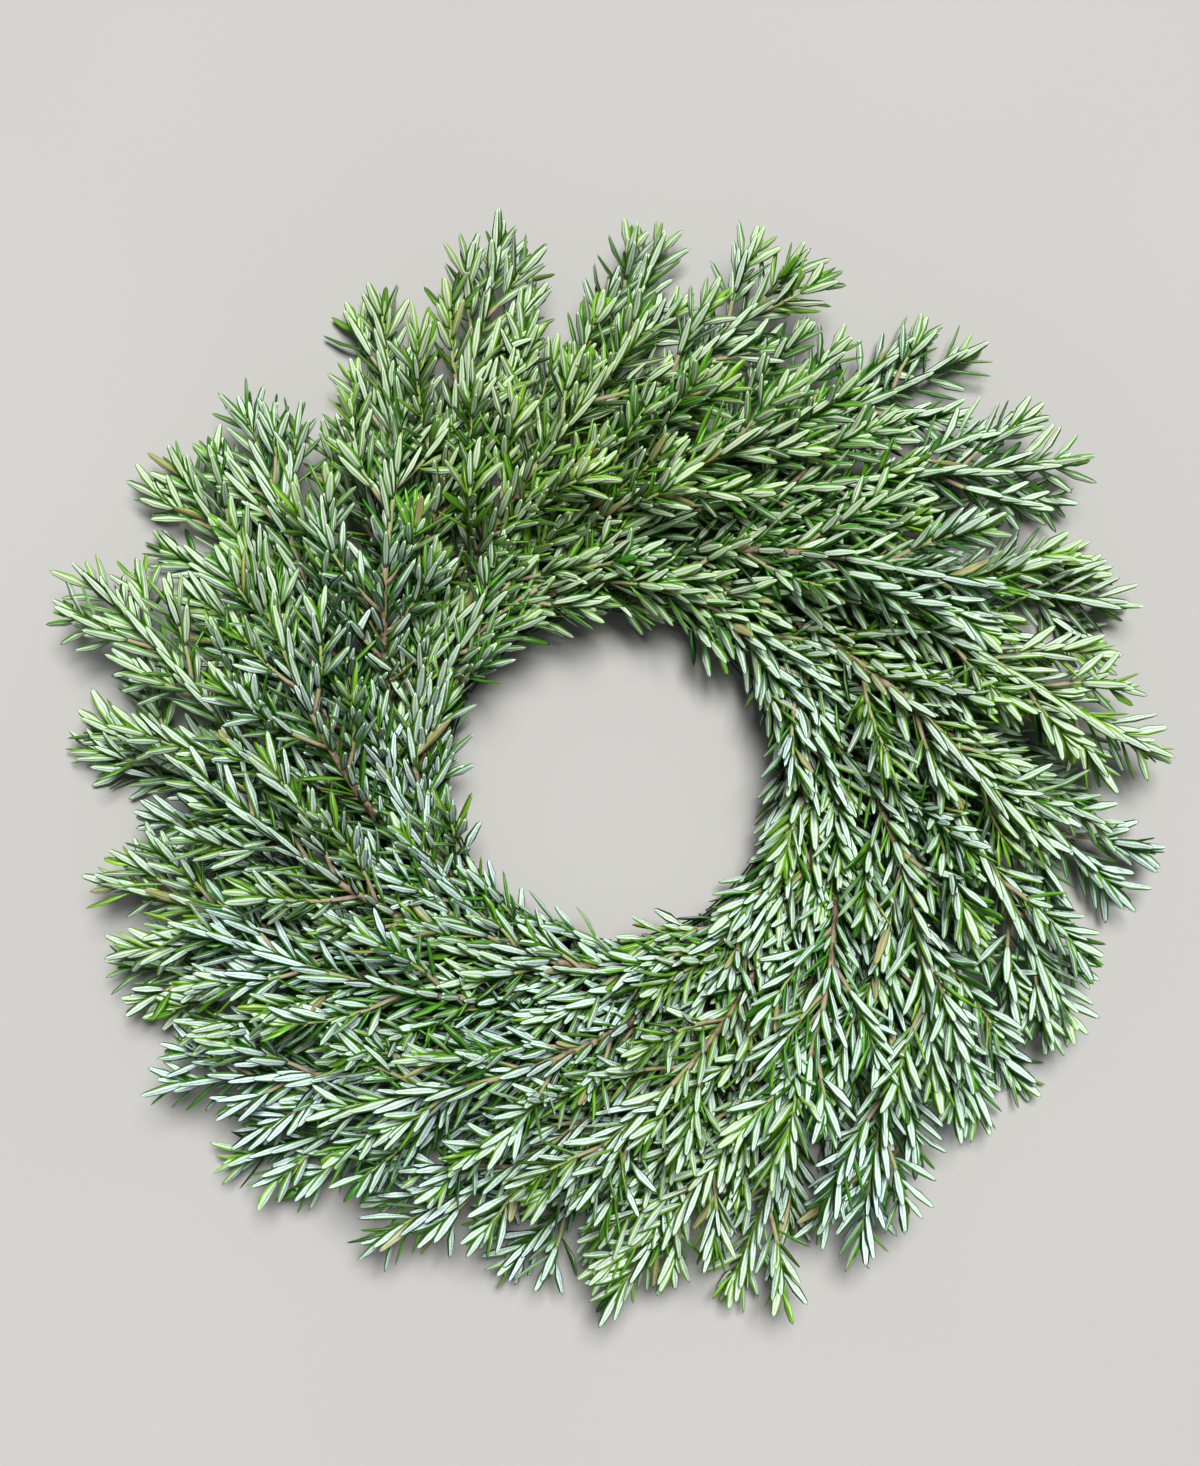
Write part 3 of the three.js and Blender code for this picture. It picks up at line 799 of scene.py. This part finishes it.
def paint(red: int, green: int, blue: int) -> tuple[float, float, float, float]:
    """Turn a colour as it is seen, in steps of 0 to 255, into the shader's linear colour.

    Args:
        red: The red step.
        green: The green step.
        blue: The blue step.

    Returns:
        The linear colour with full cover.
    """
    seen = np.array([red, green, blue]) / 255.0
    linear = np.where(seen <= 0.04045, seen / 12.92, ((seen + 0.055) / 1.055) ** 2.4)
    return (*(float(value) for value in linear), 1.0)


class Recipe:
    """A material's nodes, put together one step at a time."""

    def __init__(self, name: str) -> None:
        """Start a material with an empty principled shader."""
        self.material = bpy.data.materials.new(name)
        self.material.use_nodes = True
        self.tree = self.material.node_tree
        self.shader = self.tree.nodes["Principled BSDF"]

    def feed(self, socket: Socket, value: object) -> None:
        """Link a socket to another, or set it to a plain value.

        Args:
            socket: The socket to fill.
            value: Another socket, or the plain value.
        """
        if isinstance(value, Socket):
            self.tree.links.new(value, socket)
        else:
            socket.default_value = value

    def place(self) -> tuple[Socket, Socket]:
        """Read the piece's own texture place.

        Returns:
            The place across and the place along.
        """
        uv = self.tree.nodes.new("ShaderNodeUVMap")
        uv.uv_map = "place"
        across, along, _ = self.parts(uv.outputs[0])
        return across, along

    def parts(self, vector: Socket) -> tuple[Socket, ...]:
        """Take a vector apart.

        Args:
            vector: The vector's socket.

        Returns:
            Its x, y and z.
        """
        node = self.tree.nodes.new("ShaderNodeSeparateXYZ")
        self.feed(node.inputs[0], vector)
        return tuple(node.outputs)

    def spot(self) -> Socket:
        """Read the point's own position."""
        return self.tree.nodes.new("ShaderNodeTexCoord").outputs["Object"]

    def value(self, name: str) -> Socket:
        """Read one of the mesh's own values.

        Args:
            name: The value's name.

        Returns:
            Its socket.
        """
        node = self.tree.nodes.new("ShaderNodeAttribute")
        node.attribute_name = name
        return node.outputs["Fac"]

    def join(self, x: object, y: object, z: object) -> Socket:
        """Make a vector of three parts.

        Args:
            x: The first part.
            y: The second part.
            z: The third part.

        Returns:
            The vector's socket.
        """
        node = self.tree.nodes.new("ShaderNodeCombineXYZ")
        for socket, part in zip(node.inputs, (x, y, z)):
            self.feed(socket, part)
        return node.outputs[0]

    def sum(self, kind: str, *parts: object) -> Socket:
        """Do one step of arithmetic.

        Args:
            kind: The step's name in the Math node.
            parts: The numbers or sockets that it works on.

        Returns:
            The result's socket.
        """
        node = self.tree.nodes.new("ShaderNodeMath")
        node.operation = kind
        for socket, part in zip(node.inputs, parts):
            self.feed(socket, part)
        return node.outputs[0]

    def ease(self, value: object, start: float, end: float, low: float = 0.0,
             high: float = 1.0) -> Socket:
        """Ease from low to high as the value goes from start to end.

        Args:
            value: The value that drives it.
            start: Where the easing starts.
            end: Where it ends, which may lie below the start.
            low: The result up to the start.
            high: The result past the end.

        Returns:
            The result's socket.
        """
        node = self.tree.nodes.new("ShaderNodeMapRange")
        node.interpolation_type = "SMOOTHSTEP"
        for socket, part in zip(node.inputs, (value, start, end, low, high)):
            self.feed(socket, part)
        return node.outputs[0]

    def cloud(self, where: object, scale: float, detail: float = 2.0) -> Socket:
        """Give soft noise.

        Args:
            where: The place that it is read at.
            scale: How fine it is.
            detail: How many finer layers it has.

        Returns:
            The noise, from 0 to 1.
        """
        node = self.tree.nodes.new("ShaderNodeTexNoise")
        self.feed(node.inputs["Vector"], where)
        node.inputs["Scale"].default_value = scale
        node.inputs["Detail"].default_value = detail
        return node.outputs["Fac"]

    def blend(self, share: object, first: object, second: object) -> Socket:
        """Mix two colours.

        Args:
            share: 0 gives the first colour and 1 the second.
            first: The first colour.
            second: The second colour.

        Returns:
            The mixed colour's socket.
        """
        node = self.tree.nodes.new("ShaderNodeMix")
        node.data_type = "RGBA"
        self.feed(node.inputs["Factor"], share)
        self.feed(node.inputs[6], first)
        self.feed(node.inputs[7], second)
        return node.outputs[2]

    def raise_by(self, height: object, distance: float, strength: float) -> None:
        """Give the surface a fine relief.

        Args:
            height: The relief's height, from 0 to 1.
            distance: How high 1 stands.
            strength: How strongly it shows.
        """
        node = self.tree.nodes.new("ShaderNodeBump")
        node.inputs["Strength"].default_value = strength
        node.inputs["Distance"].default_value = distance
        self.feed(node.inputs["Height"], height)
        self.feed(self.shader.inputs["Normal"], node.outputs[0])

    def finish(self, colour: object, roughness: object, metallic: float = 0.0) -> bpy.types.Material:
        """Set the shader's colour, roughness and metal.

        Args:
            colour: The colour or its socket.
            roughness: The roughness or its socket.
            metallic: How much of a metal it is.

        Returns:
            The material.
        """
        self.feed(self.shader.inputs["Base Color"], colour)
        self.feed(self.shader.inputs["Roughness"], roughness)
        self.shader.inputs["Metallic"].default_value = metallic
        return self.material


@dataclass(frozen=True)
class LeafFinish:
    """Rosemary leaves: glossy green above with a groove, and pale felt below with a raised midrib."""

    name: str
    felt: Colour
    felt_shade: Colour
    face: Colour
    # The deep green of darker leaves, which also serves as the painted shade in the groove.
    face_deep: Colour
    face_light: Colour
    young: Colour = (130, 178, 58)
    young_felt: Colour = (190, 212, 160)
    # Partly painted shade: towards +Y this warm olive stands in for felt turned away from the light; in
    # random patches it is the felt's own warmer tone.
    warm_felt_and_painted_shade: Colour = (200, 213, 176)
    rib: Colour = (136, 160, 122)
    dry: Colour = (150, 138, 82)
    foot: Colour = (140, 148, 92)

    def material(self) -> bpy.types.Material:
        """Mix the upper face, the felt and the rolled edges by the place across the leaf.

        The upper face lies at 0 to 0.5 across with its groove at 0.25. The felt lies between the
        rolled edges at 0.6 and 0.9 with the midrib at 0.75. The felt is warmer in random patches. Towards
        +Y it is painted warmer and more olive, as painted shade for felt turned away from the light. The
        groove is darkened with painted shade.

        Returns:
            The material.
        """
        recipe = Recipe(self.name)
        across, along = recipe.place()
        spot = recipe.spot()
        tone = recipe.value("tone")
        age = recipe.value("age")
        from_rib = recipe.sum("ABSOLUTE", recipe.sum("SUBTRACT", across, 0.75))
        from_groove = recipe.sum("ABSOLUTE", recipe.sum("SUBTRACT", across, 0.25))
        below = recipe.ease(from_rib, 0.15, 0.115)
        rib = recipe.ease(from_rib, 0.045, 0.015)
        groove = recipe.ease(from_groove, 0.06, 0.0)
        fine = recipe.cloud(spot, 900.0)
        patch = recipe.cloud(spot, 9.0, 1.0)
        fresh = recipe.ease(age, 0.25, 0.95)
        dryness = recipe.ease(tone, 0.9, 0.985)
        face = recipe.blend(recipe.ease(tone, 0.1, 0.55), paint(*self.face_deep), paint(*self.face))
        face = recipe.blend(recipe.ease(tone, 0.5, 0.9), face, paint(*self.face_light))
        face = recipe.blend(recipe.ease(patch, 0.62, 0.38, 0.0, 0.35), face, paint(*self.face_deep))
        face = recipe.blend(fresh, face, paint(*self.young))
        # Painted shade: the groove along the upper face is darkened towards the deep green, as shade in the
        # recess.
        face = recipe.blend(recipe.sum("MULTIPLY", groove, 0.55), face, paint(*self.face_deep))
        felt = recipe.blend(recipe.ease(fine, 0.35, 0.65), paint(*self.felt_shade), paint(*self.felt))
        # Painted shade: the felt is mixed towards the warm olive colour towards +Y, standing in for felt that
        # faces away from the light there; the noise patches add the felt's own random warmth.
        beyond = recipe.parts(spot)[1]
        warmth_and_painted_shade = recipe.sum("ADD", recipe.ease(beyond, -0.1, 0.2, 0.0, 0.7),
                            recipe.ease(patch, 0.4, 0.6, -0.1, 0.25))
        felt = recipe.blend(warmth_and_painted_shade, felt, paint(*self.warm_felt_and_painted_shade))
        felt = recipe.blend(recipe.sum("MULTIPLY", fresh, 0.5), felt, paint(*self.young_felt))
        felt = recipe.blend(recipe.sum("MULTIPLY", rib, 0.45), felt, paint(*self.rib))
        colour = recipe.blend(below, face, felt)
        colour = recipe.blend(recipe.sum("MULTIPLY", dryness, 0.8), colour, paint(*self.dry))
        colour = recipe.blend(recipe.ease(along, 0.1, 0.0, 0.0, 0.7), colour, paint(*self.foot))
        relief = recipe.sum("SUBTRACT", rib, groove)
        relief = recipe.sum("ADD", relief, recipe.sum("MULTIPLY", fine, 0.25))
        recipe.raise_by(relief, 0.0003, 0.7)
        return recipe.finish(colour, recipe.ease(below, 0.0, 1.0, 0.36, 0.85))


@dataclass(frozen=True)
class StemFinish:
    """Stems: flaking brown bark at the butt, and smooth pinkish then pale green skin towards the tip."""

    name: str = "rosemary_stem"
    bark_deep: Colour = (54, 38, 28)
    bark: Colour = (112, 88, 70)
    bark_light: Colour = (166, 142, 122)
    middle: Colour = (156, 136, 116)
    young: Colour = (156, 170, 108)

    def material(self) -> bpy.types.Material:
        """Stretch noise along the stem for the bark, and go from bark to young skin by age.

        Returns:
            The material.
        """
        recipe = Recipe(self.name)
        across, along = recipe.place()
        age = recipe.value("age")
        grain = recipe.cloud(recipe.join(recipe.sum("MULTIPLY", across, 7.0),
                                         recipe.sum("MULTIPLY", along, 90.0), 0.0), 1.6, 4.0)
        flake = recipe.cloud(recipe.spot(), 260.0, 3.0)
        bark = recipe.blend(recipe.ease(grain, 0.36, 0.6), paint(*self.bark_deep), paint(*self.bark))
        bark = recipe.blend(recipe.ease(flake, 0.56, 0.64), bark, paint(*self.bark_light))
        skin = recipe.blend(recipe.ease(age, 0.5, 0.9), paint(*self.middle), paint(*self.young))
        mixed = recipe.sum("ADD", age, recipe.sum("MULTIPLY", recipe.sum("SUBTRACT", flake, 0.5), 0.8))
        colour = recipe.blend(recipe.ease(mixed, 0.3, 0.55), bark, skin)
        relief = recipe.sum("ADD", grain, flake)
        recipe.raise_by(relief, 0.0006, 0.6)
        return recipe.finish(colour, 0.78)


@dataclass(frozen=True)
class WireFinish:
    """Steel wire with a dark green coat that is rubbed and dusty in places."""

    name: str
    coat: Colour
    dust: Colour
    metallic: float
    roughness: float

    def material(self) -> bpy.types.Material:
        """Mix the coat and its dust by noise of two sizes.

        Returns:
            The material.
        """
        recipe = Recipe(self.name)
        spot = recipe.spot()
        large = recipe.cloud(spot, 60.0, 3.0)
        fine = recipe.cloud(spot, 900.0)
        worn = recipe.sum("ADD", large, recipe.sum("MULTIPLY", fine, 0.3))
        share = recipe.ease(worn, 0.6, 0.85)
        colour = recipe.blend(share, paint(*self.coat), paint(*self.dust))
        recipe.raise_by(fine, 0.0002, 0.35)
        roughness = recipe.ease(share, 0.0, 1.0, self.roughness, self.roughness + 0.25)
        return recipe.finish(colour, roughness, self.metallic)


@dataclass(frozen=True)
class FloorFinish:
    """A plain pale floor with very faint unevenness."""

    name: str = "pale_floor"
    light: Colour = (172, 170, 166)
    shade: Colour = (166, 164, 160)

    def material(self) -> bpy.types.Material:
        """Mix two near colours by wide soft noise.

        Returns:
            The material.
        """
        recipe = Recipe(self.name)
        colour = recipe.blend(recipe.cloud(recipe.spot(), 3.0), paint(*self.shade), paint(*self.light))
        return recipe.finish(colour, 0.9)


class Foliage(Enum):
    """The three casts of colour that the sprigs come in, by their slot in the record."""

    SILVERY = "silvery_rosemary"
    SAGE = "sage_rosemary"
    GREEN = "green_rosemary"

    def finish(self) -> LeafFinish:
        """Give the leaf finish of this cast."""
        return {
            Foliage.SILVERY: LeafFinish("silvery_leaf", felt=(216, 232, 234), felt_shade=(192, 212, 213),
                                        face=(70, 132, 40), face_deep=(22, 60, 18),
                                        face_light=(106, 162, 54)),
            Foliage.SAGE: LeafFinish("sage_leaf", felt=(212, 228, 227), felt_shade=(188, 207, 205),
                                     face=(80, 136, 36), face_deep=(26, 60, 16),
                                     face_light=(118, 168, 50)),
            Foliage.GREEN: LeafFinish("green_leaf", felt=(208, 224, 219), felt_shade=(182, 202, 194),
                                      face=(90, 140, 32), face_deep=(30, 62, 14),
                                      face_light=(130, 172, 48)),
        }[self]


# ---- The wire frame ----

@dataclass
class WireFrame:
    """Four round hoops, six cross braces and the binding wire that holds the sprigs on."""

    hoops: tuple[str, ...] = ("inner_rim_hoop", "outer_rim_hoop", "inner_base_hoop", "outer_base_hoop")
    wire_radius: float = 0.0014
    hoop_steps: int = 144
    hoop_sides: int = 12
    braces: int = 6

    def hoop(self, node: str, finish: bpy.types.Material) -> bpy.types.Object:
        """Bend round wire into a closed hoop where the frame model has it.

        Args:
            node: The hoop's node in the frame model.
            finish: Its material.

        Returns:
            The hoop.
        """
        low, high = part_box(node)
        centre = np.array((low + high) / 2.0)
        radius = (high.x - low.x) / 2.0 - self.wire_radius
        angles = 360.0 * np.arange(self.hoop_steps) / self.hoop_steps
        path = polar(np.full(self.hoop_steps, radius), angles, 0.0) + centre
        radii = np.full(self.hoop_steps, self.wire_radius)
        surface = tube_surface(path, radii, self.hoop_sides, True, {})
        piece = build_mesh(f"round_{node}", [surface])
        piece.data.materials.append(finish)
        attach(piece, "root")
        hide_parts(node)
        return piece

    def dress(self, node: str, finish: bpy.types.Material) -> bpy.types.Object:
        """Give a piece of the frame model its finish.

        Args:
            node: The piece's node.
            finish: Its material.

        Returns:
            The piece.
        """
        piece = frame["nodes"][node]
        piece.data.materials.clear()
        piece.data.materials.append(finish)
        return piece

    def build(self) -> list[bpy.types.Object]:
        """Make the hoops and dress the braces and the binding wire.

        Returns:
            All the pieces.
        """
        coated = WireFinish("coated_frame_wire", (44, 62, 42), (98, 98, 80), 0.55, 0.42).material()
        binding = WireFinish("green_binding_wire", (30, 58, 34), (84, 92, 66), 0.6, 0.36).material()
        pieces = [self.hoop(node, coated) for node in self.hoops]
        pieces += [self.dress(f"cross_brace_{place + 1}", coated) for place in range(self.braces)]
        pieces.append(self.dress("binding_wire", binding))
        return pieces


# ---- The studio ----

@dataclass
class Studio:
    """A pale floor, soft light from the far side and a camera straight above."""

    floor_size: float = 60.0
    floor_drop: float = 0.0004
    camera_height: float = 1.06
    camera_aim: tuple[float, float] = (-0.0080, 0.0161)
    seen_height: float = 0.674
    seen_level: float = 0.045
    sensor: float = 36.0
    key_from: tuple[float, float, float] = (0.1, 0.38, 0.92)
    key_spread: float = 24.0
    key_power: float = 4.3
    key_colour: Colour = (0.98, 0.99, 1.0)
    sky_colour: Colour = (0.92, 0.95, 1.0)
    sky_strength: float = 0.2

    def floor(self, finish: bpy.types.Material) -> bpy.types.Object:
        """Lay the floor just under the lowest point.

        Args:
            finish: Its material.

        Returns:
            The floor.
        """
        half = self.floor_size / 2.0
        corners = [(-half, -half, -self.floor_drop), (half, -half, -self.floor_drop),
                   (half, half, -self.floor_drop), (-half, half, -self.floor_drop)]
        mesh = bpy.data.meshes.new("floor")
        mesh.from_pydata(corners, [], [(0, 1, 2, 3)])
        mesh.materials.append(finish)
        piece = bpy.data.objects.new("floor", mesh)
        bpy.context.scene.collection.objects.link(piece)
        return piece

    def camera(self) -> bpy.types.Object:
        """Hang the camera over the wreath, looking straight down with +Y up in the picture.

        Returns:
            The camera.
        """
        data = bpy.data.cameras.new("overhead_camera")
        data.sensor_width = self.sensor
        data.lens = self.sensor * (self.camera_height - self.seen_level) / self.seen_height
        camera = bpy.data.objects.new("overhead_camera", data)
        camera.location = (*self.camera_aim, self.camera_height)
        bpy.context.scene.collection.objects.link(camera)
        bpy.context.scene.camera = camera
        return camera

    def lights(self) -> None:
        """Let one broad cool light in from the far side and fill the rest with a pale sky."""
        data = bpy.data.lights.new("window_light", "SUN")
        data.angle = np.radians(self.key_spread)
        data.energy = self.key_power
        data.color = self.key_colour
        light = bpy.data.objects.new("window_light", data)
        light.rotation_euler = (-Vector(self.key_from)).to_track_quat("-Z", "Y").to_euler()
        bpy.context.scene.collection.objects.link(light)
        world = bpy.data.worlds.new("pale_sky")
        world.use_nodes = True
        sky = world.node_tree.nodes["Background"]
        sky.inputs["Color"].default_value = (*self.sky_colour, 1.0)
        sky.inputs["Strength"].default_value = self.sky_strength
        bpy.context.scene.world = world

    def build(self) -> None:
        """Set up the floor, the camera and the lights."""
        self.floor(FloorFinish().material())
        self.camera()
        self.lights()
        view = bpy.context.scene.view_settings
        view.view_transform = "Standard"
        view.look = "Medium High Contrast"


def main() -> None:
    """Build the wreath's frame, its forty-eight sprigs and the studio."""
    logging.basicConfig(level=logging.INFO, format="%(message)s")
    Studio().build()
    for piece in WireFrame().build():
        log.info("%s: %d faces", piece.name, len(piece.data.polygons))
    low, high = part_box("inner_base_hoop")
    centre = np.array([(low.x + high.x) / 2.0, (low.y + high.y) / 2.0, 0.0])
    slots = {part["node"]: part["material_slot"] for part in frame["record"]["subparts"]}
    leaves = {kind.value: kind.finish().material() for kind in Foliage}
    stem = StemFinish().material()
    total = 0
    for row_number, name in enumerate(RowName):
        for bunch in range(BUNCHES):
            sprig = Sprig(name, bunch, centre)
            finishes = [leaves[slots[sprig.node]], stem]
            piece = sprig.build(bunch + ROW_STRIDE * row_number, finishes, slots[sprig.node])
            faces = sum(len(polygon.vertices) - 2 for polygon in piece.data.polygons)
            total += faces
            log.info("%s: %d triangles", piece.name, faces)
    log.info("sprigs: %d triangles", total)


if __name__ == "__main__":
    main()
